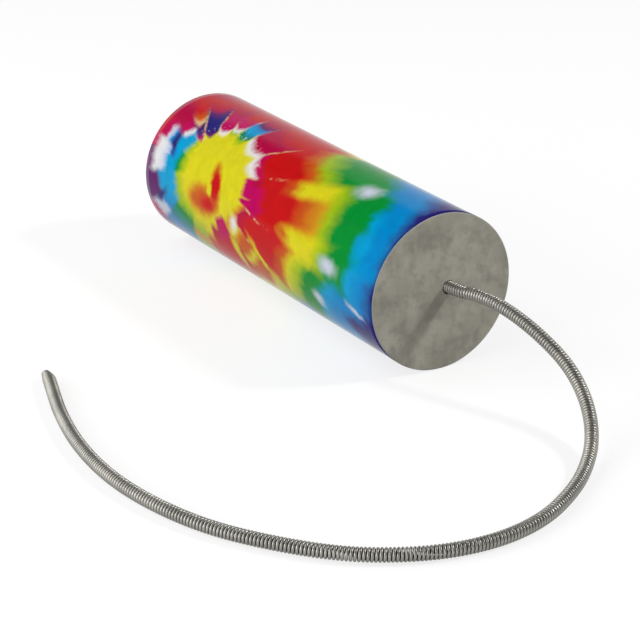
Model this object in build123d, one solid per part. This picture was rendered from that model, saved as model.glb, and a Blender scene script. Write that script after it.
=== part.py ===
from build123d import *
import math
import os

import numpy as np

# A thunder tube lying on its side: a cardboard tube with a printed wrap, a film drumhead across its +X end and
# a long wound steel spring that leaves the middle of the head and lies on the table in a hook.
# Millimetres. X runs along the tube, Z is up, and the origin is under the middle of the tube, on the table.

# Tube and wrap
tube_length = 177.8
tube_diameter = 63.5
wall = 3.0
wrap_thickness = 0.25
wrap_glue_gap = 0.05

# Drumhead
head_thickness = 0.35
head_glue_thickness = 0.15

# Spring
wire_diameter = 1.0
spring_diameter = 5.2
turn_pitch = 4.5
hole_clearance = 0.35
exit_side = 2.9
exit_rise = 1.5
table_gap = 0.1

# Spring fixing behind the head
washer_diameter = 16.0
washer_thickness = 1.2
bead_diameter = 9.0
bead_length = 3.6
bead_tip_wall = 0.5
fixing_clearance = 0.15
anchor_stick_out = 1.0
anchor_tail = 0.8

# Places along the spring where it is cut, measured from the head's face
twist_gap = 0.3
root_length = 19.0
swing_gap = 0.75

# Derived sizes
tube_radius = tube_diameter / 2
axis_height = tube_radius
core_radius = tube_radius - wrap_thickness - wrap_glue_gap
bore_radius = core_radius - wall
open_end_x = -tube_length / 2
head_face_x = tube_length / 2
head_back_x = head_face_x - head_thickness
core_end_x = head_back_x - head_glue_thickness
wire_radius = wire_diameter / 2
coil_radius = (spring_diameter - wire_diameter) / 2
exit_height = axis_height + exit_rise
lying_height = spring_diameter / 2 + table_gap
hole_radius = spring_diameter / 2 + hole_clearance
fixing_radius = spring_diameter / 2 + fixing_clearance
washer_back_x = head_back_x - washer_thickness
bead_back_x = washer_back_x - bead_length


def disc(x, thickness, radius, side=0, height=axis_height):
    """A round plate across the tube, from x towards +X, centred on the tube's axis or at the given place."""
    across = Plane(origin=(x, side, height), x_dir=(0, 1, 0), z_dir=(1, 0, 0))
    return extrude(across * Circle(radius), thickness)


def pipe(x, length, outer, inner):
    """A round pipe along the tube's axis."""
    return disc(x, length, outer) - disc(x, length, inner)


def make_bead():
    """The glue behind the washer: a low dome round the spring."""
    across = Plane(origin=(washer_back_x, exit_side, exit_height), x_dir=(0, 1, 0), z_dir=(-1, 0, 0))
    base = across * Circle(bead_diameter / 2)
    tip = across.offset(bead_length) * Circle(fixing_radius + bead_tip_wall)
    dome = loft([base, tip])
    return dome - disc(bead_back_x, bead_length, fixing_radius, exit_side, exit_height)


# The spring's route on the table, chosen by hand: X from the head's face, Y from the exit, and how much of the
# drop from the exit to the table is still left.
route_points = [
    (-6, 0, 1.0),
    (4, 0, 1.0),
    (14, 3.6, 1.03),
    (28, 6.3, 0.99),
    (44, 9, 0.84),
    (61, 11, 0.60),
    (77, 7.5, 0.34),
    (92, -1.7, 0.12),
    (104, -14.7, 0),
    (115, -30, 0),
    (124, -47.3, 0),
    (128, -66.8, 0),
    (126, -86, 0),
    (119, -103, 0),
    (108, -118.7, 0),
    (90, -133.5, 0),
    (69, -146, 0),
    (43.5, -153.5, 0),
    (18, -156.2, 0),
    (-9, -154, 0),
    (-35, -148, 0),
    (-56, -141, 0),
    (-74, -134.7, 0),
]
route_start = route_points[0][0]
arc_share = 0.45


def make_route():
    """Straight runs joined by tangent arcs, each arc as large as its two runs allow."""
    drop = exit_height - lying_height
    points = [Vector(head_face_x + x, exit_side + y, lying_height + drop * share) for x, y, share in route_points]
    radii = []
    for before, here, after in zip(points, points[1:], points[2:]):
        run_in = here - before
        run_out = after - here
        turn = math.radians(run_in.get_angle(run_out))
        radii.append(arc_share * min(run_in.length, run_out.length) / math.tan(turn / 2))
    print("route radii", [round(radius, 1) for radius in radii])
    return FilletPolyline(*points, radius=radii)


def frame_on(route, distance):
    """The place and direction at a distance from the head's face, and the directions up and sideways there."""
    from_start = distance - route_start
    if from_start < 0:
        along = route.tangent_at(0)
        place = route.position_at(0) + along * from_start
    else:
        place = route.position_at(from_start, position_mode=PositionMode.LENGTH)
        along = route.tangent_at(from_start, position_mode=PositionMode.LENGTH)
    up = (Vector(0, 0, 1) - along * along.Z).normalized()
    return place, along, up, up.cross(along)


def biarc(start, start_way, end, end_way):
    """Two tangent arcs from one point and direction to another."""
    chord = end - start
    both = start_way + end_way
    spread = 2 * (1 - start_way.dot(end_way))
    lean = chord.dot(both)
    reach = (math.sqrt(lean * lean + spread * chord.dot(chord)) - lean) / spread
    first_leg = start + start_way * reach
    last_leg = end - end_way * reach
    middle = (first_leg + last_leg) / 2
    middle_way = (last_leg - first_leg).normalized()
    return [TangentArc(start, middle, tangent=start_way), TangentArc(middle, end, tangent=middle_way)]


def wound_wire(route, start, end):
    """The wire of one stretch of the spring: a straight end on top, turns round the route, a straight end."""
    lead = wire_diameter
    ease = turn_pitch / 4 + wire_diameter
    first = start + lead + ease
    last = end - lead - ease
    half_turns = 2 * max(1, round((last - first) / turn_pitch + 0.5)) - 1

    def on_coil(distance):
        place, along, up, side = frame_on(route, distance)
        turned = math.pi * (0.5 + half_turns * (distance - first) / (last - first))
        return place + up * (coil_radius * math.cos(turned)) + side * (coil_radius * math.sin(turned))

    def on_top(distance):
        place, along, up, side = frame_on(route, distance)
        return place + up * coil_radius, along

    step = turn_pitch / 500
    stations = []
    for count in range(half_turns + 1):
        distance = first + (last - first) * count / half_turns
        way = (on_coil(distance + step) - on_coil(distance - step)).normalized()
        stations.append((on_coil(distance), way))
    start_point, start_way = on_top(start)
    end_point, end_way = on_top(end)
    lead_in = start_point + start_way * lead
    lead_out = end_point - end_way * lead
    edges = [Line(start_point, lead_in)]
    stations = [(lead_in, start_way)] + stations + [(lead_out, end_way)]
    for (point, way), (next_point, next_way) in zip(stations, stations[1:]):
        edges += biarc(point, way, next_point, next_way)
    edges.append(Line(lead_out, end_point))
    return edges, (half_turns + 1) / 2


def least_gap(edges):
    """The least clear distance between two places of the wire that aren't neighbours along it."""
    points = []
    lengths = []
    run = 0
    for edge in edges:
        for share in (0, 0.25, 0.5, 0.75):
            points.append(tuple(edge.position_at(share)))
            lengths.append(run + share * edge.length)
        run += edge.length
    points = np.array(points)
    lengths = np.array(lengths)
    neighbour = math.pi * coil_radius
    least = math.inf
    for point, length in zip(points, lengths):
        apart = points[np.abs(lengths - length) > neighbour]
        if len(apart):
            least = min(least, np.sqrt(((apart - point) ** 2).sum(axis=1)).min())
    return least - wire_diameter


def wind(name, route, start, end):
    """One stretch of the spring as a solid, with its turns, least gap and volume printed."""
    edges, turns = wound_wire(route, start, end)
    path = Wire(edges)
    section = Plane(origin=path.position_at(0), z_dir=path.tangent_at(0)) * Circle(wire_radius)
    solid = sweep(section, path=path)
    expected = math.pi * wire_radius ** 2 * path.length
    print(name, "turns", turns, "least gap", round(least_gap(edges), 2),
          "volume", round(solid.volume, 2), "expected", round(expected, 2))
    return solid


tube_core = pipe(open_end_x, core_end_x - open_end_x, core_radius, bore_radius)
printed_wrap = pipe(open_end_x, core_end_x - open_end_x, tube_radius, tube_radius - wrap_thickness)
head_glue_ring = pipe(core_end_x, head_glue_thickness, core_radius, bore_radius)
spring_hole = disc(head_back_x, head_thickness, hole_radius, exit_side, exit_height)
drum_head = disc(head_back_x, head_thickness, tube_radius) - spring_hole
washer_hole = disc(washer_back_x, washer_thickness, fixing_radius, exit_side, exit_height)
washer_plate = disc(washer_back_x, washer_thickness, washer_diameter / 2, exit_side, exit_height)
anchor_washer = washer_plate - washer_hole
glue_bead = make_bead()

route = make_route()
anchor_start = bead_back_x - anchor_tail - head_face_x
root_start = anchor_stick_out + twist_gap
root_end = root_start + root_length
spring_anchor = wind("spring_anchor", route, anchor_start, anchor_stick_out)
spring_root = wind("spring_root", route, root_start, root_end)
free_length = route.length + route_start
spring_tail = wind("spring_tail", route, root_end + swing_gap, free_length)
print("spring's free length", round(free_length, 1))
print("twist at", frame_on(route, anchor_stick_out + twist_gap / 2)[0])
print("swing at", frame_on(route, root_end + swing_gap / 2)[0])

nodes = {
    "tube_core": tube_core,
    "printed_wrap": printed_wrap,
    "head_glue_ring": head_glue_ring,
    "drum_head": drum_head,
    "anchor_washer": anchor_washer,
    "glue_bead": glue_bead,
    "spring_anchor": spring_anchor,
    "spring_root": spring_root,
    "spring_tail": spring_tail,
}
os.makedirs("parts", exist_ok=True)
for node, solid in nodes.items():
    export_step(solid, f"parts/{node}.step")
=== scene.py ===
import bisect
import math

import bmesh
import bpy
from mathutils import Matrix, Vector, noise


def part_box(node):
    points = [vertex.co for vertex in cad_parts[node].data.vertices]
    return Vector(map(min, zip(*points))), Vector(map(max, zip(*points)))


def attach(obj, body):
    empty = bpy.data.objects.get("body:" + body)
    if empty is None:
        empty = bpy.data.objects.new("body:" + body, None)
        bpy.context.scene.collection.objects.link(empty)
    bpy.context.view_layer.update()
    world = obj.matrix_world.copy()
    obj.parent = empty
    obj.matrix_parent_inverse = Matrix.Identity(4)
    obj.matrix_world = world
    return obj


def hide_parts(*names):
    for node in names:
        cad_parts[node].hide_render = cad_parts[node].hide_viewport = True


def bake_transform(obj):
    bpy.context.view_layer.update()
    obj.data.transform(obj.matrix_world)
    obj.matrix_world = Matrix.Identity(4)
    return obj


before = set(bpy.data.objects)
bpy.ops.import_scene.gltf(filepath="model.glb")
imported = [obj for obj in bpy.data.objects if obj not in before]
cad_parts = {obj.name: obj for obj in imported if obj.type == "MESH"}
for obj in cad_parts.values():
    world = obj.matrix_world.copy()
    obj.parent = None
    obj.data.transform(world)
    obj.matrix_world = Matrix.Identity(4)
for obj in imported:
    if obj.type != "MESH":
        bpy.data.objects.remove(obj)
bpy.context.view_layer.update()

# Cardboard tube
# The body of the drum is a stock mailing-type tube: grey-brown board wound in a spiral from several plies of
# paper and cut square. Its wall shows only at the open end and inside.
core_low, core_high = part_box("tube_core")
axis_height = (core_low.z + core_high.z) / 2
core_radius = (core_high.y - core_low.y) / 2
board_wall = 0.003
bore_radius = core_radius - board_wall
rim_rounding = 0.0004
sharp_edge = math.radians(45)
ply_winding_pitch = 0.062
board_colour = (0.40, 0.30, 0.20)
board_dark = (0.27, 0.19, 0.12)
board_pale = (0.52, 0.42, 0.30)


def turned(name, profile, steps=240):
    """A closed round piece on the tube's axis: its outline's (x, radius) points turned all the way round."""
    rows = len(profile)
    points = []
    faces = []
    for step in range(steps):
        angle = 2 * math.pi * step / steps
        for x, radius in profile:
            points.append((x, -radius * math.sin(angle), axis_height + radius * math.cos(angle)))
    for step in range(steps):
        here = step * rows
        ahead = (step + 1) % steps * rows
        for row in range(rows):
            after = (row + 1) % rows
            faces.append((here + row, here + after, ahead + after, ahead + row))
    return as_piece(name, points, faces)


def as_piece(name, points, faces):
    """A mesh object with its faces turned outwards and its round faces smooth."""
    mesh = bpy.data.meshes.new(name)
    mesh.from_pydata(points, [], faces)
    work = bmesh.new()
    work.from_mesh(mesh)
    bmesh.ops.recalc_face_normals(work, faces=work.faces)
    work.to_mesh(mesh)
    work.free()
    mesh.shade_smooth()
    mesh.set_sharp_from_angle(angle=sharp_edge)
    piece = bpy.data.objects.new(name, mesh)
    bpy.context.scene.collection.objects.link(piece)
    return piece


def rounded_corner(x, radius, toward_x, toward_radius, size, count=4):
    """The points of a small quarter round at an outline's corner, from the first side to the second."""
    points = []
    for step in range(count + 1):
        turn = math.pi / 2 * step / count
        points.append((
            x + toward_x * size * (1 - math.sin(turn)),
            radius + toward_radius * size * (1 - math.cos(turn)),
        ))
    return points


def new_finish(name):
    """An empty finish: its material, its nodes and its shader."""
    material = bpy.data.materials.new(name)
    material.use_nodes = True
    return material, material.node_tree, material.node_tree.nodes["Principled BSDF"]


def add(tree, kind, inputs=None, **settings):
    """One node, with its inputs fed by numbers, colours or other nodes' outputs."""
    made = tree.nodes.new(kind)
    for name, value in settings.items():
        setattr(made, name, value)
    for name, value in (inputs or {}).items():
        if isinstance(value, bpy.types.NodeSocket):
            tree.links.new(value, made.inputs[name])
        else:
            made.inputs[name].default_value = value
    return made


def calc(tree, operation, *values):
    """A sum on numbers or outputs."""
    return add(tree, "ShaderNodeMath", dict(enumerate(values)), operation=operation).outputs[0]


def mixed(tree, share, first, second):
    """Two colours mixed by a share from 0 to 1."""
    colours = [value if isinstance(value, bpy.types.NodeSocket) else (*value, 1) for value in (first, second)]
    inputs = {0: share, 6: colours[0], 7: colours[1]}
    return add(tree, "ShaderNodeMix", inputs, data_type="RGBA").outputs[2]


def graded(tree, share, stops):
    """A colour that runs through stops of (place, colour) as the share goes from 0 to 1."""
    ramp = add(tree, "ShaderNodeValToRGB", {"Fac": share})
    elements = ramp.color_ramp.elements
    while len(elements) < len(stops):
        elements.new(1.0)
    for element, (place, colour) in zip(elements, stops):
        element.position = place
        element.color = (*colour, 1)
    return ramp.outputs["Color"]


def eased(tree, value, low, high):
    """0 below low, 1 above high, and a smooth rise between them."""
    inputs = {"Value": value, "From Min": low, "From Max": high}
    return add(tree, "ShaderNodeMapRange", inputs, interpolation_type="SMOOTHSTEP").outputs["Result"]


def speckle(tree, vector, scale, detail=3.0, roughness=0.55):
    """Cloudy noise about 0.5."""
    inputs = {"Vector": vector, "Scale": scale, "Detail": detail, "Roughness": roughness}
    return add(tree, "ShaderNodeTexNoise", inputs)


def place_on_part(tree):
    """The point being shaded, in metres in the part's own frame."""
    return add(tree, "ShaderNodeTexCoord").outputs["Object"]


def vector_of(tree, x, y, z):
    """A vector made of three numbers or outputs."""
    return add(tree, "ShaderNodeCombineXYZ", {"X": x, "Y": y, "Z": z}).outputs[0]


def length_of(tree, first, second):
    """The length of a line with these two extents, square to each other."""
    squares = calc(tree, "ADD", calc(tree, "MULTIPLY", first, first), calc(tree, "MULTIPLY", second, second))
    return calc(tree, "SQRT", squares)


def tube_coordinates(tree):
    """Metres along the tube, metres out from its axis, and the angle round it."""
    apart = add(tree, "ShaderNodeSeparateXYZ", {0: place_on_part(tree)})
    rise = calc(tree, "SUBTRACT", apart.outputs["Z"], axis_height)
    across = apart.outputs["Y"]
    return apart.outputs["X"], length_of(tree, rise, across), calc(tree, "ARCTAN2", rise, across)


def board_finish():
    """Spiral-wound board: fibres, ply lines on the cut end and the winding seam inside."""
    material, tree, shader = new_finish("wound_board")
    along, out, angle = tube_coordinates(tree)
    fibres = speckle(tree, place_on_part(tree), 900.0, 4.0)
    clouds = speckle(tree, place_on_part(tree), 60.0, 3.0)
    plies = speckle(tree, vector_of(tree, calc(tree, "MULTIPLY", out, 3600.0), 0.0, 0.0), 1.0, 2.0)
    colour = mixed(tree, eased(tree, clouds.outputs["Fac"], 0.3, 0.7), board_colour, board_pale)
    colour = mixed(tree, eased(tree, fibres.outputs["Fac"], 0.48, 0.75), colour, board_dark)
    on_end = calc(tree, "LESS_THAN", along, core_low.x + rim_rounding / 2)
    ply_lines = calc(tree, "MULTIPLY", eased(tree, plies.outputs["Fac"], 0.5, 0.62), on_end)
    colour = mixed(tree, calc(tree, "MULTIPLY", ply_lines, 0.55), colour, board_dark)
    turns = calc(tree, "ADD", calc(tree, "DIVIDE", along, ply_winding_pitch),
                 calc(tree, "DIVIDE", angle, 2 * math.pi))
    from_seam = calc(tree, "ABSOLUTE", calc(tree, "SUBTRACT", calc(tree, "FRACT", turns), 0.5))
    seam = calc(tree, "MULTIPLY", calc(tree, "LESS_THAN", from_seam, 0.008),
                calc(tree, "SUBTRACT", 1.0, on_end))
    colour = mixed(tree, calc(tree, "MULTIPLY", seam, 0.7), colour, board_dark)
    tree.links.new(colour, shader.inputs["Base Color"])
    shader.inputs["Roughness"].default_value = 0.85
    height = calc(tree, "SUBTRACT", calc(tree, "ADD", fibres.outputs["Fac"], ply_lines), seam)
    bump = add(tree, "ShaderNodeBump", {"Height": height, "Strength": 0.35, "Distance": 0.0002})
    tree.links.new(bump.outputs["Normal"], shader.inputs["Normal"])
    return material


def finish_node(node, material):
    """Gives a carried-over solid its finish."""
    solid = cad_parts[node]
    solid.data.materials.clear()
    solid.data.materials.append(material)
    solid.data.shade_smooth()
    solid.data.set_sharp_from_angle(angle=sharp_edge)


core_outline = [(core_high.x, bore_radius), (core_high.x, core_radius)]
core_outline += reversed(rounded_corner(core_low.x, core_radius, 1, -1, rim_rounding))
core_outline += rounded_corner(core_low.x, bore_radius, 1, 1, rim_rounding)
tube_core = turned("tube_core_board", core_outline)
tube_core.data.materials.append(board_finish())
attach(tube_core, "tube")
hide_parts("tube_core")

# Printed wrap
# A sheet of paper printed with a tie-dye burst and laminated with clear gloss film, glued round the tube. Its
# end laps over its start in a seam along the back, where the cut edge stands up by the sheet's thickness.
wrap_low, wrap_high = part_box("printed_wrap")
tube_radius = (wrap_high.y - wrap_low.y) / 2
sheet_thickness = 0.0002
seam_angle = -110.0
lap_angle = 15.0
lap_ramp = 5.0
sheet_angle = 360.0 + lap_angle
sheet_length = wrap_high.x - wrap_low.x
millimetres = 1000
paper_white = (0.84, 0.83, 0.82)
crease_cream = (0.80, 0.55, 0.26)
yellow = (0.74, 0.67, 0.014)
amber = (0.68, 0.30, 0.012)
orange = (0.62, 0.11, 0.010)
red = (0.60, 0.006, 0.008)
crimson = (0.47, 0.001, 0.055)
magenta = (0.54, 0.000, 0.115)
purple = (0.12, 0.010, 0.14)
indigo = (0.026, 0.020, 0.19)
blue = (0.000, 0.26, 0.64)
cyan = (0.000, 0.36, 0.68)
teal = (0.006, 0.24, 0.30)
green = (0.001, 0.29, 0.035)
lime = (0.36, 0.54, 0.010)
lilac_white = (0.66, 0.70, 0.82)


def wrapped_sheet():
    """The sheet rolled round the tube, with its lapped end lifted over its start."""
    around = 300
    along = 60
    points = []
    faces = []
    shares = []
    for row in range(around + 1):
        angle = sheet_angle * row / around
        lift = min(max((angle - (360.0 - lap_ramp)) / lap_ramp, 0.0), 1.0)
        radius = tube_radius + sheet_thickness * lift * lift * (3 - 2 * lift)
        turn = math.radians(seam_angle + angle)
        for column in range(along + 1):
            x = wrap_low.x + sheet_length * column / along
            points.append((x, -radius * math.sin(turn), axis_height + radius * math.cos(turn)))
            shares.append((column / along, row / around))
    for row in range(around):
        for column in range(along):
            corner = row * (along + 1) + column
            faces.append((corner, corner + 1, corner + along + 2, corner + along + 1))
    sheet = as_piece("printed_wrap_sheet", points, faces)
    layer = sheet.data.uv_layers.new(name="sheet")
    for loop in sheet.data.loops:
        layer.data[loop.index].uv = shares[loop.vertex_index]
    return sheet


# The dye in each fold of the tied cloth, outwards from the tied point: the fold's last direction in degrees,
# clockwise from the head, whether its far crease stayed pale, and its colours at distances in millimetres.
first_direction = -180
folds = [
    (-172, False, [(18, yellow), (22, lime), (25, green), (29, cyan), (33, blue), (38, lilac_white),
                   (44, paper_white), (49, magenta), (54, red), (66, crimson), (90, orange), (112, yellow)]),
    (-159, False, [(19, yellow), (23, lime), (27, cyan), (33, cyan), (36, indigo), (39, blue),
                   (42, lilac_white), (45, magenta), (52, red), (70, crimson), (95, orange), (115, yellow)]),
    (-147, False, [(20, yellow), (24, lime), (27, cyan), (31, cyan), (34, paper_white), (37, magenta),
                   (46, crimson), (60, crimson), (70, red), (90, crimson), (110, orange)]),
    (-138, True, [(22, yellow), (25, magenta), (29, indigo), (33, purple), (36, crease_cream), (40, orange),
                  (46, red), (56, red), (66, crimson), (90, red), (110, orange)]),
    (-122, True, [(22, yellow), (25, purple), (28, indigo), (37, indigo), (41, purple), (45, crimson),
                  (54, red), (70, crimson), (90, red), (108, orange)]),
    (-108, True, [(22, yellow), (25, paper_white), (28, magenta), (38, magenta), (44, crimson), (55, red),
                  (75, crimson), (95, orange), (112, lime)]),
    (-95, True, [(22, yellow), (25, lime), (27, paper_white), (30, magenta), (36, magenta), (41, red),
                 (55, red), (75, crimson), (95, orange), (112, yellow)]),
    (-78, True, [(18, yellow), (22, lime), (24, green), (27, teal), (30, cyan), (35, blue), (38, purple),
                 (43, crimson), (56, red), (76, crimson), (95, orange), (112, yellow)]),
    (-46, True, [(21, yellow), (25, paper_white), (29, crimson), (40, crimson), (47, red), (62, red),
                 (68, orange), (75, yellow), (84, lime), (95, green), (110, blue)]),
    (-20, True, [(21, yellow), (25, paper_white), (29, magenta), (34, red), (53, red), (59, orange),
                 (66, lime), (77, green), (96, green), (106, blue), (118, blue), (126, indigo)]),
    (-12, False, [(23, yellow), (26, magenta), (32, crimson), (38, red), (48, red), (55, orange),
                  (61, yellow), (77, yellow), (85, lime), (93, green), (107, green), (113, blue),
                  (120, blue), (128, indigo)]),
    (1, False, [(23, yellow), (26, magenta), (36, magenta), (42, red), (60, red), (70, orange), (79, amber),
                (85, lime), (92, green), (105, green), (110, cyan), (116, blue), (122, blue), (130, indigo)]),
    (10, True, [(23, yellow), (26, magenta), (36, magenta), (42, red), (54, red), (60, amber),
                (68, yellow), (80, yellow), (87, lime), (93, green), (105, green), (110, cyan),
                (118, blue), (128, indigo)]),
    (30, True, [(23, yellow), (26, amber), (29, crimson), (36, red), (57, red), (64, orange), (69, yellow),
                (77, lime), (82, green), (90, green), (96, cyan), (104, blue), (116, blue), (124, indigo)]),
    (46, False, [(22, yellow), (26, amber), (31, yellow), (34, amber), (38, orange), (42, orange),
                 (46, yellow), (50, orange), (57, orange), (63, yellow), (73, lime), (82, blue), (98, blue),
                 (108, indigo)]),
    (66, False, [(19, yellow), (22, magenta), (29, magenta), (34, red), (46, red), (52, orange), (58, yellow),
                 (68, lime), (80, blue), (95, indigo), (110, purple)]),
    (80, False, [(22, yellow), (26, crimson), (32, red), (46, red), (52, orange), (58, yellow), (68, lime),
                 (80, blue), (95, indigo), (110, purple)]),
    (92, False, [(28, yellow), (33, orange), (38, red), (46, orange), (54, yellow), (66, lime), (80, blue),
                 (100, purple)]),
    (112, False, [(24, yellow), (31, lime), (37, amber), (44, lime), (52, green), (66, teal), (80, blue),
                  (100, purple)]),
    (138, False, [(20, yellow), (27, lime), (32, green), (42, teal), (50, blue), (62, indigo), (80, magenta),
                  (100, red)]),
    (149, False, [(21, yellow), (26, lime), (32, cyan), (42, blue), (48, lilac_white), (53, lilac_white),
                  (58, magenta), (72, purple), (90, red)]),
    (166, False, [(21, yellow), (26, lime), (30, cyan), (40, cyan), (44, purple), (57, purple), (66, magenta),
                  (85, red)]),
    (180, False, [(18, yellow), (22, lime), (26, green), (30, cyan), (35, cyan), (39, lilac_white),
                  (45, paper_white), (50, purple), (56, magenta), (66, crimson), (90, orange)]),
]
# Drops of dye or bare paper: millimetres along and around from the tied point, half their length and width,
# their tilt in degrees, how soft they are, and their dye. The first five make a red comma.
drops = [
    (-3.0, 10.5, 13.5, 8.0, 0, 0.5, amber),
    (-3.0, 10.5, 11.0, 6.5, 0, 0.6, orange),
    (3.0, 11.0, 9.0, 5.5, 0, 0.8, red),
    (5.5, 2.0, 12.0, 4.6, 63, 0.6, red),
    (1.5, 4.5, 4.5, 2.2, 50, 0.6, yellow),
    (89, -27, 9.0, 6.5, -12, 1.0, lilac_white),
    (94, 8, 9.0, 5.0, 5, 1.0, lilac_white),
    (87, 24, 6.0, 4.0, 35, 1.0, lilac_white),
    (44, 21, 15.0, 2.2, 40, 0.9, yellow),
    (25, 25, 12.0, 3.2, 66, 0.8, yellow),
    (32, 19, 6.0, 4.2, 50, 0.8, orange),
    (44, 29, 8.0, 3.8, 50, 0.8, orange),
    (24, 13, 4.0, 5.0, 10, 1.0, paper_white),
    (60, 5, 7.0, 2.4, 15, 1.0, orange),
    (110, -5, 7.0, 6.0, 0, 0.8, cyan),
    (114, 29, 13.0, 6.5, 15, 0.7, indigo),
    (114, 20, 9.0, 1.8, 20, 1.0, lilac_white),
    (-34.5, -5.5, 8.5, 2.6, 62, 0.9, indigo),
    (-38, 19, 9.0, 2.6, 140, 0.9, indigo),
    (-43, -21, 12.0, 6.0, 38, 0.9, crimson),
]
fold_reach = 135
fold_notch = 4.0
fold_softness = 2.5
burst_stretch = 1.2
crease_width = 1.0
# the front burst and the one on the back: place along, angle round the tube, turn of its folds, and its noise
burst_places = [(-38.0, 64.2, 0.0, 3.7), (32.0, 232.0, 150.0, 11.3)]
back_burst_reach = (36, 46)


def window(tree, value, low, high, soft):
    """1 between low and high, 0 outside, with soft edges."""
    return calc(tree, "MULTIPLY", eased(tree, value, low - soft, low + soft),
                calc(tree, "SUBTRACT", 1.0, eased(tree, value, high - soft, high + soft)))


def swayed(tree, value, wave, size):
    """A value pushed to and fro by noise."""
    return calc(tree, "ADD", value, calc(tree, "MULTIPLY", calc(tree, "SUBTRACT", wave, 0.5), size))


def burst_recipe():
    """One tie-dye burst: dyed folds round a tied point, in millimetres. Gives its colour and the distance."""
    tree = bpy.data.node_groups.new("dyed_burst", "ShaderNodeTree")
    for name in ("Along", "Around", "Turned By", "Seed"):
        tree.interface.new_socket(name, in_out="INPUT", socket_type="NodeSocketFloat")
    tree.interface.new_socket("Colour", in_out="OUTPUT", socket_type="NodeSocketColor")
    tree.interface.new_socket("Distance", in_out="OUTPUT", socket_type="NodeSocketFloat")
    along, around, turned_by, seed = list(add(tree, "NodeGroupInput").outputs)[:4]
    spot = vector_of(tree, along, around, calc(tree, "MULTIPLY", seed, 10.0))
    drift = add(tree, "ShaderNodeSeparateColor", {0: speckle(tree, spot, 0.045, 2.0).outputs["Color"]})
    bleed = add(tree, "ShaderNodeSeparateColor", {0: speckle(tree, spot, 0.20, 4.0, 0.6).outputs["Color"]})
    stretched = calc(tree, "MULTIPLY", around, burst_stretch)
    run = swayed(tree, along, drift.outputs[0], 5.0)
    rise = swayed(tree, stretched, drift.outputs[1], 5.0)
    angle = calc(tree, "ARCTAN2", swayed(tree, rise, bleed.outputs[0], 2.2),
                 swayed(tree, run, bleed.outputs[1], 2.2))
    angle = calc(tree, "MULTIPLY", angle, 180 / math.pi)
    run = swayed(tree, run, bleed.outputs[0], 3.5)
    rise = swayed(tree, rise, bleed.outputs[1], 3.5)
    distance = length_of(tree, run, rise)
    angle = calc(tree, "WRAP", calc(tree, "SUBTRACT", angle, turned_by), 180.0, -180.0)

    # threads pull the dye out along the folds
    safe = calc(tree, "MAXIMUM", distance, 0.1)
    threads = vector_of(tree, calc(tree, "MULTIPLY", calc(tree, "DIVIDE", run, safe), 9.0),
                        calc(tree, "MULTIPLY", calc(tree, "DIVIDE", rise, safe), 9.0),
                        calc(tree, "ADD", calc(tree, "MULTIPLY", distance, 0.035), seed))
    thread = speckle(tree, threads, 1.0, 3.0, 0.6).outputs["Fac"]
    pull = add(tree, "ShaderNodeMapRange", {"Value": distance, "From Min": 25.0, "From Max": 70.0,
                                            "To Min": 0.14, "To Max": 0.12}).outputs["Result"]
    reach = calc(tree, "MULTIPLY", distance, swayed(tree, 1.0, thread, pull))

    colour = None
    creases = 0.0
    start = first_direction
    for end, pale, rings in folds:
        dye_reach = reach
        if pale:
            across = calc(tree, "DIVIDE", calc(tree, "SUBTRACT", angle, (start + end) / 2), (end - start) / 2)
            scallop = calc(tree, "MULTIPLY", calc(tree, "MULTIPLY", across, across), fold_notch)
            dye_reach = calc(tree, "SUBTRACT", reach, scallop)
        share = calc(tree, "DIVIDE", dye_reach, fold_reach)
        dyed = graded(tree, share, [(place / fold_reach, dye) for place, dye in rings])
        if colour is None:
            colour = dyed
        else:
            inside = eased(tree, angle, start - fold_softness, start + fold_softness)
            colour = mixed(tree, inside, colour, dyed)
        if pale:
            aside = calc(tree, "ABSOLUTE", calc(tree, "SUBTRACT", angle, end))
            aside = calc(tree, "MULTIPLY", aside, calc(tree, "MULTIPLY", distance, math.pi / 180))
            line = calc(tree, "SUBTRACT", 1.0, eased(tree, aside, crease_width * 0.2, crease_width))
            creases = calc(tree, "MAXIMUM", creases, line)
        start = end
    broken = eased(tree, bleed.outputs[2], 0.44, 0.60)
    creases = calc(tree, "MULTIPLY", creases, calc(tree, "MULTIPLY", broken, window(tree, reach, 27, 46, 7)))
    colour = mixed(tree, calc(tree, "MULTIPLY", creases, 0.65), colour, crease_cream)

    # bare paper spattered along the edge of the yellow, on the side away from the table
    spatter = eased(tree, speckle(tree, spot, 0.55, 3.0, 0.6).outputs["Fac"], 0.55, 0.66)
    spatter = calc(tree, "MULTIPLY", spatter, window(tree, reach, 24, 29, 3))
    spatter = calc(tree, "MULTIPLY", spatter, window(tree, angle, -155, -22, 6))
    colour = mixed(tree, calc(tree, "MULTIPLY", spatter, 0.65), colour, paper_white)

    for drop_along, drop_around, half_length, half_width, tilt, softness, dye in drops:
        east = calc(tree, "SUBTRACT", swayed(tree, along, bleed.outputs[0], 4.5), drop_along)
        south = calc(tree, "SUBTRACT", swayed(tree, around, bleed.outputs[1], 4.5), drop_around)
        turn_cos = math.cos(math.radians(tilt))
        turn_sin = math.sin(math.radians(tilt))
        lengthwise = calc(tree, "ADD", calc(tree, "MULTIPLY", east, turn_cos / half_length),
                          calc(tree, "MULTIPLY", south, turn_sin / half_length))
        widthwise = calc(tree, "SUBTRACT", calc(tree, "MULTIPLY", south, turn_cos / half_width),
                         calc(tree, "MULTIPLY", east, turn_sin / half_width))
        out = length_of(tree, lengthwise, widthwise)
        colour = mixed(tree, calc(tree, "SUBTRACT", 1.0, eased(tree, out, 1 - softness, 1.1)), colour, dye)
    add(tree, "NodeGroupOutput", {"Colour": colour, "Distance": distance})
    return tree


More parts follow.
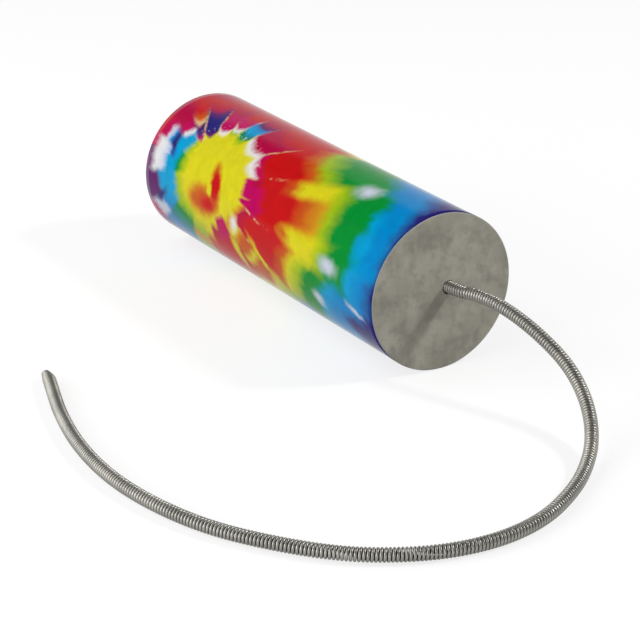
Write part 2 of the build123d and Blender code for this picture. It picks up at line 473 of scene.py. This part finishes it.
def print_finish():
    """The tie-dye print under clear gloss film."""
    material, tree, shader = new_finish("tie_dye_print")
    shares = add(tree, "ShaderNodeSeparateXYZ", {0: add(tree, "ShaderNodeUVMap", uv_map="sheet").outputs[0]})
    along = calc(tree, "MULTIPLY", shares.outputs["X"], sheet_length * millimetres)
    along = calc(tree, "ADD", along, wrap_low.x * millimetres)
    sheet_width = tube_radius * millimetres * math.radians(sheet_angle)
    around = calc(tree, "ADD", calc(tree, "MULTIPLY", shares.outputs["Y"], sheet_width),
                  tube_radius * millimetres * math.radians(seam_angle))
    recipe = burst_recipe()
    bursts = []
    for centre_along, centre_angle, turned_by, seed in burst_places:
        centre_around = tube_radius * millimetres * math.radians(centre_angle)
        bursts.append(add(tree, "ShaderNodeGroup", {
            "Along": calc(tree, "SUBTRACT", along, centre_along),
            "Around": calc(tree, "SUBTRACT", around, centre_around),
            "Turned By": turned_by,
            "Seed": seed,
        }, node_tree=recipe))
    front, back = bursts
    outside = eased(tree, back.outputs["Distance"], *back_burst_reach)
    colour = mixed(tree, outside, back.outputs["Colour"], front.outputs["Colour"])
    weave = speckle(tree, vector_of(tree, along, around, 0.0), 0.22, 4.0, 0.6)
    shade = add(tree, "ShaderNodeMapRange", {"Value": weave.outputs["Fac"], "From Min": 0.3, "From Max": 0.7,
                                             "To Min": 0.92, "To Max": 1.05})
    shaded = add(tree, "ShaderNodeHueSaturation", {"Value": shade.outputs["Result"], "Color": colour})
    colour = shaded.outputs[0]
    tree.links.new(colour, shader.inputs["Base Color"])
    shader.inputs["Roughness"].default_value = 0.07
    shader.inputs["Specular IOR Level"].default_value = 0.05
    ripple = speckle(tree, vector_of(tree, along, around, 5.0), 0.055, 2.0)
    bump = add(tree, "ShaderNodeBump", {"Height": ripple.outputs["Fac"], "Strength": 0.08,
                                        "Distance": 0.0006})
    tree.links.new(bump.outputs["Normal"], shader.inputs["Normal"])
    return material


def paper_edge_finish():
    """The sheet's cut edge and its back: white uncoated paper."""
    material, tree, shader = new_finish("paper_edge")
    fibres = speckle(tree, place_on_part(tree), 1500.0, 3.0)
    colour = mixed(tree, fibres.outputs["Fac"], (0.70, 0.69, 0.66), paper_white)
    tree.links.new(colour, shader.inputs["Base Color"])
    shader.inputs["Roughness"].default_value = 0.8
    return material


printed_wrap = wrapped_sheet()
printed_wrap.data.materials.append(print_finish())
printed_wrap.data.materials.append(paper_edge_finish())
sheet_body = printed_wrap.modifiers.new("sheet thickness", "SOLIDIFY")
sheet_body.thickness = sheet_thickness
sheet_body.offset = -1
sheet_body.material_offset = 1
sheet_body.material_offset_rim = 1
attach(printed_wrap, "tube")
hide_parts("printed_wrap")

# Glue ring under the drumhead
# A thin ring of hard amber glue holds the film to the cut end of the tube. It shows only as a hairline
# between the print and the head.
glue_colour = (0.58, 0.46, 0.26)
glue_dark = (0.40, 0.28, 0.12)


def glue_finish():
    """Dried glue: amber, glossy and a little cloudy."""
    material, tree, shader = new_finish("dried_glue")
    clouds = speckle(tree, place_on_part(tree), 350.0, 3.0)
    colour = mixed(tree, eased(tree, clouds.outputs["Fac"], 0.35, 0.7), glue_colour, glue_dark)
    tree.links.new(colour, shader.inputs["Base Color"])
    shader.inputs["Roughness"].default_value = 0.25
    shader.inputs["Subsurface Weight"].default_value = 0.1
    bump = add(tree, "ShaderNodeBump", {"Height": clouds.outputs["Fac"], "Strength": 0.2, "Distance": 0.0003})
    tree.links.new(bump.outputs["Normal"], shader.inputs["Normal"])
    return material


glue = glue_finish()
finish_node("head_glue_ring", glue)

# Drumhead
# A disc of mottled, parchment-like plastic film, stretched and glued flat over the tube's end and trimmed
# flush. The spring comes out of a punched hole, whose lip it has pulled up a little.
head_low, head_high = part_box("drum_head")
head_radius = (head_high.y - head_low.y) / 2
head_thickness = head_high.x - head_low.x
washer_low, washer_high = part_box("anchor_washer")
exit_side = (washer_low.y + washer_high.y) / 2
exit_height = (washer_low.z + washer_high.z) / 2
hole_radius = 0.0028
hole_lip = 0.00025
lip_reach = 0.0035
hole_raggedness = 0.05
head_unevenness = 0.00012
waves_per_metre = 90
edge_rounding = 0.0009
edge_drop = 0.0002
film_grey = (0.490, 0.466, 0.383)
film_dark = (0.322, 0.308, 0.252)
film_pale = (0.605, 0.577, 0.484)
# partly painted highlight: the paler colour of the film's cut rim
film_cut_and_highlight = (0.50, 0.48, 0.46)
film_edge = 0.0005


def head_film():
    """The film disc: rings from the hole's lip to the trimmed edge, gently uneven, with a back."""
    around = 220
    rings = 46
    points = []
    faces = []
    for side in (0, 1):
        for ring in range(rings + 1):
            share = ring / rings
            for step in range(around):
                angle = 2 * math.pi * step / around
                round_hole = Vector((math.cos(angle), math.sin(angle), 4.0))
                ragged = 1 + hole_raggedness * noise.noise(round_hole * 2.5)
                inner = Vector((exit_side + hole_radius * ragged * math.sin(angle),
                                exit_height + hole_radius * ragged * math.cos(angle)))
                outer = Vector((head_radius * math.sin(angle), axis_height + head_radius * math.cos(angle)))
                across = inner.lerp(outer, 1 - (1 - share) ** 1.5)
                from_hole = max((across - Vector((exit_side, exit_height))).length - hole_radius, 0.0)
                lip = hole_lip * max(1 - from_hole / lip_reach, 0.0) ** 2
                waved = across * waves_per_metre
                wave = noise.noise(Vector((waved.x, waved.y, 7.0)))
                from_edge = head_radius - (across - Vector((0, axis_height))).length
                rounded = edge_drop * max(1 - from_edge / edge_rounding, 0.0) ** 2 * (1 - side)
                x = head_high.x - head_unevenness * (0.5 + wave) + lip - rounded - side * head_thickness
                points.append((x, across.x, across.y))
    row = around
    side_size = (rings + 1) * around
    for side in (0, 1):
        for ring in range(rings):
            for step in range(around):
                ahead = (step + 1) % around
                corner = side * side_size + ring * row
                faces.append((corner + step, corner + ahead, corner + row + ahead, corner + row + step))
    for ring in (0, rings):
        for step in range(around):
            ahead = (step + 1) % around
            front = ring * row
            back = side_size + ring * row
            faces.append((front + step, front + ahead, back + ahead, back + step))
    return as_piece("drum_head_film", points, faces)


def film_finish():
    """Mottled film: soft clouds, short fibres and a satin face."""
    material, tree, shader = new_finish("mottled_film")
    place = place_on_part(tree)
    clouds = speckle(tree, place, 75.0, 3.0, 0.6).outputs["Fac"]
    patches = speckle(tree, place, 130.0, 4.0, 0.60).outputs["Fac"]
    grain = speckle(tree, place, 900.0, 3.0).outputs["Fac"]
    colour = mixed(tree, eased(tree, clouds, 0.38, 0.66), film_grey, film_pale)
    colour = mixed(tree, calc(tree, "MULTIPLY", eased(tree, patches, 0.40, 0.72), 0.75), colour, film_dark)
    colour = mixed(tree, calc(tree, "MULTIPLY", eased(tree, grain, 0.45, 0.75), 0.18), colour, film_dark)
    _, out, _ = tube_coordinates(tree)
    # a paler rim all round: partly the film's cut edge, partly a painted highlight along the edge
    trimmed = eased(tree, out, head_radius - film_edge, head_radius - film_edge / 4)
    colour = mixed(tree, calc(tree, "MULTIPLY", trimmed, 0.7), colour, film_cut_and_highlight)
    tree.links.new(colour, shader.inputs["Base Color"])
    rough = add(tree, "ShaderNodeMapRange", {"Value": patches, "To Min": 0.42, "To Max": 0.60})
    tree.links.new(rough.outputs["Result"], shader.inputs["Roughness"])
    height = calc(tree, "ADD", calc(tree, "MULTIPLY", clouds, 0.7), calc(tree, "MULTIPLY", grain, 0.15))
    bump = add(tree, "ShaderNodeBump", {"Height": height, "Strength": 0.45, "Distance": 0.0006})
    tree.links.new(bump.outputs["Normal"], shader.inputs["Normal"])
    return material


drum_head = head_film()
drum_head.data.materials.append(film_finish())
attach(drum_head, "tube")
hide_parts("drum_head")

# Washer behind the head
# A small disc of black pressed fibre, glued to the back of the film so that the spring's pull is spread.


def fibre_finish():
    """Pressed fibre: near black, with pale flecks."""
    material, tree, shader = new_finish("pressed_fibre")
    flecks = speckle(tree, place_on_part(tree), 1300.0, 4.0)
    pale = eased(tree, flecks.outputs["Fac"], 0.55, 0.75)
    colour = mixed(tree, pale, (0.018, 0.017, 0.016), (0.09, 0.08, 0.07))
    tree.links.new(colour, shader.inputs["Base Color"])
    shader.inputs["Roughness"].default_value = 0.7
    bump = add(tree, "ShaderNodeBump", {"Height": flecks.outputs["Fac"], "Strength": 0.3, "Distance": 0.0002})
    tree.links.new(bump.outputs["Normal"], shader.inputs["Normal"])
    return material


finish_node("anchor_washer", fibre_finish())

# Glue bead
# A blob of the same amber glue behind the washer, which locks the spring's end in place.
finish_node("glue_bead", glue)

# Spring
# One spring of bright drawn steel wire, its turns almost touching. It is held in the head, leaves through the
# hole, sags to the table and lies there in a hook, with a bare cut tip whose last turns are drawn in.
head_face = head_high.x
# the route's points: X from the head's face, Y from the exit, and the share of the sag that is left
route = [
    (-0.006, 0.0000, 1.0),
    (0.004, 0.0000, 1.0),
    (0.014, 0.0036, 1.03),
    (0.028, 0.0063, 0.99),
    (0.044, 0.0090, 0.84),
    (0.061, 0.0110, 0.60),
    (0.077, 0.0075, 0.34),
    (0.092, -0.0017, 0.12),
    (0.104, -0.0147, 0),
    (0.115, -0.0300, 0),
    (0.124, -0.0473, 0),
    (0.128, -0.0668, 0),
    (0.126, -0.0860, 0),
    (0.119, -0.1030, 0),
    (0.108, -0.1187, 0),
    (0.090, -0.1335, 0),
    (0.069, -0.1460, 0),
    (0.0435, -0.1535, 0),
    (0.018, -0.1562, 0),
    (-0.009, -0.1540, 0),
    (-0.035, -0.1480, 0),
    (-0.056, -0.1410, 0),
    (-0.074, -0.1347, 0),
]
wire_diameter = 0.0012
spring_diameter = 0.0052
# how far apart the turns are: the distance along the line, and from turn to turn there
turn_pitches = [
    (0.000, 0.00122),
    (0.080, 0.00122),
    (0.120, 0.00142),
    (0.155, 0.00148),
    (0.190, 0.00136),
    (0.500, 0.00135),
]
table_gap = 0.0001
lying_height = spring_diameter / 2 + table_gap
sag = exit_height - lying_height
tip_trim = 0.0022
tip_length = 0.0074
tip_share = 0.45
tip_lean = 0.7
steps_per_turn = 20
wire_sides = 8
neck_end = 0.014
bend_end = 0.040
steel_grey = (0.36, 0.352, 0.320)
steel_pale = (0.455, 0.444, 0.402)
steel_dark = (0.16, 0.156, 0.139)
# painted shade: the colour painted into the grooves between turns
groove_shade_black = (0.060, 0.058, 0.052)
# the turns, counted from the head, between which the painted shade in the grooves grows dark and fades again
groove_shade_from = (60, 110)
groove_shade_until = (220, 270)
least_groove_shade = 0.25


def smooth_line(points):
    """The points of a smooth curve that the given points pull into shape, with their distances along it."""
    curve = bpy.data.curves.new("spring_line", "CURVE")
    curve.dimensions = "3D"
    spline = curve.splines.new("NURBS")
    spline.points.add(len(points) - 1)
    for point, place in zip(spline.points, points):
        point.co = (*place, 1)
    spline.order_u = 3
    spline.use_endpoint_u = True
    spline.resolution_u = 60
    holder = bpy.data.objects.new("spring_line", curve)
    bpy.context.scene.collection.objects.link(holder)
    bpy.context.view_layer.update()
    line = bpy.data.meshes.new_from_object(holder)
    places = [vertex.co.copy() for vertex in line.vertices]
    bpy.data.objects.remove(holder)
    bpy.data.meshes.remove(line)
    distances = [0.0]
    for before, after in zip(places, places[1:]):
        distances.append(distances[-1] + (after - before).length)
    return places, distances


def ways_along(places):
    """The direction of the line at each of its points."""
    last = len(places) - 1
    return [(places[min(i + 1, last)] - places[max(i - 1, 0)]).normalized() for i in range(last + 1)]


def winding_steps(length):
    """The distance along the line of every step of the winding, up to a length."""
    steps = [0.0]
    while steps[-1] < length:
        here = steps[-1]
        for (start, pitch), (end, next_pitch) in zip(turn_pitches, turn_pitches[1:]):
            if here < end:
                break
        pitch += (next_pitch - pitch) * (here - start) / (end - start)
        steps.append(here + pitch / steps_per_turn)
    return steps


def wound(name, start, end):
    """The wire of one stretch of the spring, wound round the line from one distance to another."""
    coil_radius = (spring_diameter - wire_diameter) / 2
    first = bisect.bisect_left(step_at, start)
    last = bisect.bisect_left(step_at, end)
    points = []
    faces = []
    at = 0
    centres = []
    for step in range(first, last + 1):
        distance = min(step_at[step], line_at[-1])
        while at < len(line_at) - 2 and line_at[at + 1] < distance:
            at += 1
        share = (distance - line_at[at]) / (line_at[at + 1] - line_at[at])
        centre = line[at].lerp(line[at + 1], share)
        along = line_ways[at].lerp(line_ways[at + 1], share).normalized()
        up = (Vector((0, 0, 1)) - along * along.z).normalized()
        side = up.cross(along)
        left = line_at[-1] - tip_trim - distance
        radius = coil_radius
        if left < tip_length:
            drawn = (1 - max(left, 0.0) / tip_length) ** 1.5
            radius *= 1 - (1 - tip_share) * drawn
            centre = centre + side * (tip_lean * (coil_radius - radius))
        turn = 2 * math.pi * step / steps_per_turn
        out = up * math.cos(turn) + side * math.sin(turn)
        round_way = side * math.cos(turn) - up * math.sin(turn)
        advance = (step_at[step + 1] - step_at[step]) * steps_per_turn
        wire_way = (round_way * radius + along * (advance / (2 * math.pi))).normalized()
        wire_side = wire_way.cross(out)
        middle = centre + out * radius
        centres.append(centre)
        for corner in range(wire_sides):
            slant = 2 * math.pi * corner / wire_sides
            away = out * math.cos(slant) + wire_side * math.sin(slant)
            points.append(middle + away * (wire_diameter / 2))
    count = last - first
    for step in range(count):
        here = step * wire_sides
        for corner in range(wire_sides):
            after = (corner + 1) % wire_sides
            faces.append((here + corner, here + after, here + wire_sides + after, here + wire_sides + corner))
    faces.append(tuple(range(wire_sides)))
    faces.append(tuple(count * wire_sides + corner for corner in range(wire_sides)))
    piece = as_piece(name, [tuple(point) for point in points], faces)
    layer = piece.data.uv_layers.new(name="wire")
    for loop in piece.data.loops:
        corner = loop.vertex_index % wire_sides
        outward = 0.5 + 0.5 * math.cos(2 * math.pi * corner / wire_sides)
        turns = (first + loop.vertex_index // wire_sides) / steps_per_turn
        layer.data[loop.index].uv = (turns, outward)
    piece.data.materials.append(steel)
    return piece, centres


def steel_finish():
    """Drawn wire: grey and satin, with fine draw lines, painted shade on the lower side of each turn, and
    painted shade in the grooves between turns.
    """
    material, tree, shader = new_finish("drawn_steel")
    place = place_on_part(tree)
    wire = add(tree, "ShaderNodeSeparateXYZ", {0: add(tree, "ShaderNodeUVMap", uv_map="wire").outputs[0]})
    clouds = speckle(tree, place, 70.0, 3.0).outputs["Fac"]
    lines = speckle(tree, place, 2600.0, 2.0).outputs["Fac"]
    colour = mixed(tree, eased(tree, clouds, 0.35, 0.7), steel_grey, steel_pale)
    colour = mixed(tree, calc(tree, "MULTIPLY", eased(tree, lines, 0.5, 0.8), 0.35), colour, steel_dark)
    # painted shade: the lower side of every turn is darkened towards steel_dark
    turned_down = calc(tree, "COSINE", calc(tree, "MULTIPLY", wire.outputs["X"], 2 * math.pi))
    painted_underside_shade = calc(tree, "SUBTRACT", 1.0, eased(tree, turned_down, -0.9, 0.4))
    colour = mixed(tree, calc(tree, "MULTIPLY", painted_underside_shade, 0.9), colour, steel_dark)
    # painted shade where each turn faces its neighbours, deepest over the turns given above
    groove_shade = calc(tree, "SUBTRACT", 1.0, eased(tree, wire.outputs["Y"], 0.46, 0.86))
    dark = calc(tree, "SUBTRACT", eased(tree, wire.outputs["X"], *groove_shade_from),
                eased(tree, wire.outputs["X"], *groove_shade_until))
    groove_shade_depth = calc(tree, "MULTIPLY_ADD", dark, 1 - least_groove_shade, least_groove_shade)
    groove_shade = calc(tree, "MULTIPLY", groove_shade, groove_shade_depth)
    colour = mixed(tree, groove_shade, colour, groove_shade_black)
    tree.links.new(colour, shader.inputs["Base Color"])
    shader.inputs["Metallic"].default_value = 1.0
    rough = add(tree, "ShaderNodeMapRange", {"Value": clouds, "To Min": 0.38, "To Max": 0.46})
    tree.links.new(rough.outputs["Result"], shader.inputs["Roughness"])
    return material


route_points = [Vector((head_face + x, exit_side + y, lying_height + sag * share)) for x, y, share in route]
line, line_at = smooth_line(route_points)
line_ways = ways_along(line)
step_at = winding_steps(line_at[-1])
steel = steel_finish()
spring_neck, _ = wound("spring_neck", 0.0, neck_end)
spring_bend, bend_line = wound("spring_bend", neck_end, bend_end)
spring_tail, tail_line = wound("spring_tail_coil", bend_end, line_at[-1] - tip_trim)
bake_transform(spring_neck)
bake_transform(spring_bend)
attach(spring_tail, "tail")
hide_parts("spring_anchor")
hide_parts("spring_root")
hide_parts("spring_tail")

# Table, light and camera
# A plain white table that runs out to a white studio wall under a dark ceiling, a small lamp high behind on
# the right, a large panel low in front, a soft one high on the left, and the camera at the photo's angle.
table_white = (0.30, 0.30, 0.30)
table_glow = 0.77
wall_white = 0.90
front_grey = 0.45
ceiling_grey = 0.14
wall_direction = (-0.8, 0.55)
wall_edge = (0.40, 0.75)
ceiling_edge = (30, 35)


def make_table():
    """A table that looks white to the camera and in reflections, and still takes a shadow."""
    mesh = bpy.data.meshes.new("table")
    reach = 4.0
    corners = [(-reach, -reach, 0), (reach, -reach, 0), (reach, reach, 0), (-reach, reach, 0)]
    mesh.from_pydata(corners, [], [(0, 1, 2, 3)])
    table = bpy.data.objects.new("table", mesh)
    bpy.context.scene.collection.objects.link(table)
    material, tree, shader = new_finish("white_table")
    shader.inputs["Base Color"].default_value = (*table_white, 1)
    shader.inputs["Roughness"].default_value = 0.9
    shader.inputs["Specular IOR Level"].default_value = 0.0
    rays = add(tree, "ShaderNodeLightPath")
    seen = calc(tree, "MAXIMUM", rays.outputs["Is Camera Ray"],
                calc(tree, "MAXIMUM", rays.outputs["Is Glossy Ray"], rays.outputs["Is Transmission Ray"]))
    shader.inputs["Emission Color"].default_value = (1, 1, 1, 1)
    tree.links.new(calc(tree, "MULTIPLY", seen, table_glow), shader.inputs["Emission Strength"])
    mesh.materials.append(material)


def make_studio():
    """The light round the object: a white wall on one side, grey in front and a dark ceiling."""
    world = bpy.data.worlds.new("studio")
    bpy.context.scene.world = world
    world.use_nodes = True
    tree = world.node_tree
    apart = add(tree, "ShaderNodeSeparateXYZ", {0: add(tree, "ShaderNodeTexCoord").outputs["Generated"]})
    height = eased(tree, apart.outputs["Z"], *[math.sin(math.radians(angle)) for angle in ceiling_edge])
    behind = calc(tree, "ADD", calc(tree, "MULTIPLY", apart.outputs["X"], wall_direction[0]),
                  calc(tree, "MULTIPLY", apart.outputs["Y"], wall_direction[1]))
    wall = mixed(tree, eased(tree, behind, *wall_edge), (front_grey,) * 3, (wall_white,) * 3)
    colour = mixed(tree, height, wall, (ceiling_grey,) * 3)
    tree.links.new(colour, tree.nodes["Background"].inputs["Color"])


def lamp(name, place, target, width, height, power):
    """A soft lamp or panel that faces a target."""
    light = bpy.data.lights.new(name, "AREA")
    light.shape = "RECTANGLE"
    light.size = width
    light.size_y = height
    light.energy = power
    holder = bpy.data.objects.new(name, light)
    holder.location = place
    holder.rotation_euler = (Vector(target) - Vector(place)).to_track_quat("-Z", "Y").to_euler()
    bpy.context.scene.collection.objects.link(holder)


make_table()
make_studio()
lamp("key_lamp", (0.60, 0.90, 0.96), (0.09, 0, 0.03), 0.17, 0.17, 7.0)
lamp("front_panel", (-0.06, -1.20, 0.40), (0.02, 0, 0.03), 1.2, 0.8, 8.8)
lamp("left_panel", (-0.40, -0.58, 0.86), (0.12, -0.05, 0), 0.6, 0.6, 3.3)
bpy.context.scene.view_settings.view_transform = "Standard"

camera_lens = 129.4
sensor_width = 36.0
camera_place = (0.7485, -0.4726, 0.3628)
camera_dip = 22.92
camera_heading = 57.66
camera = bpy.data.cameras.new("camera")
camera.lens = camera_lens
camera.sensor_width = sensor_width
camera_stand = bpy.data.objects.new("camera", camera)
camera_stand.location = camera_place
camera_stand.rotation_euler = (math.radians(90 - camera_dip), 0, math.radians(camera_heading))
bpy.context.scene.collection.objects.link(camera_stand)
bpy.context.scene.camera = camera_stand
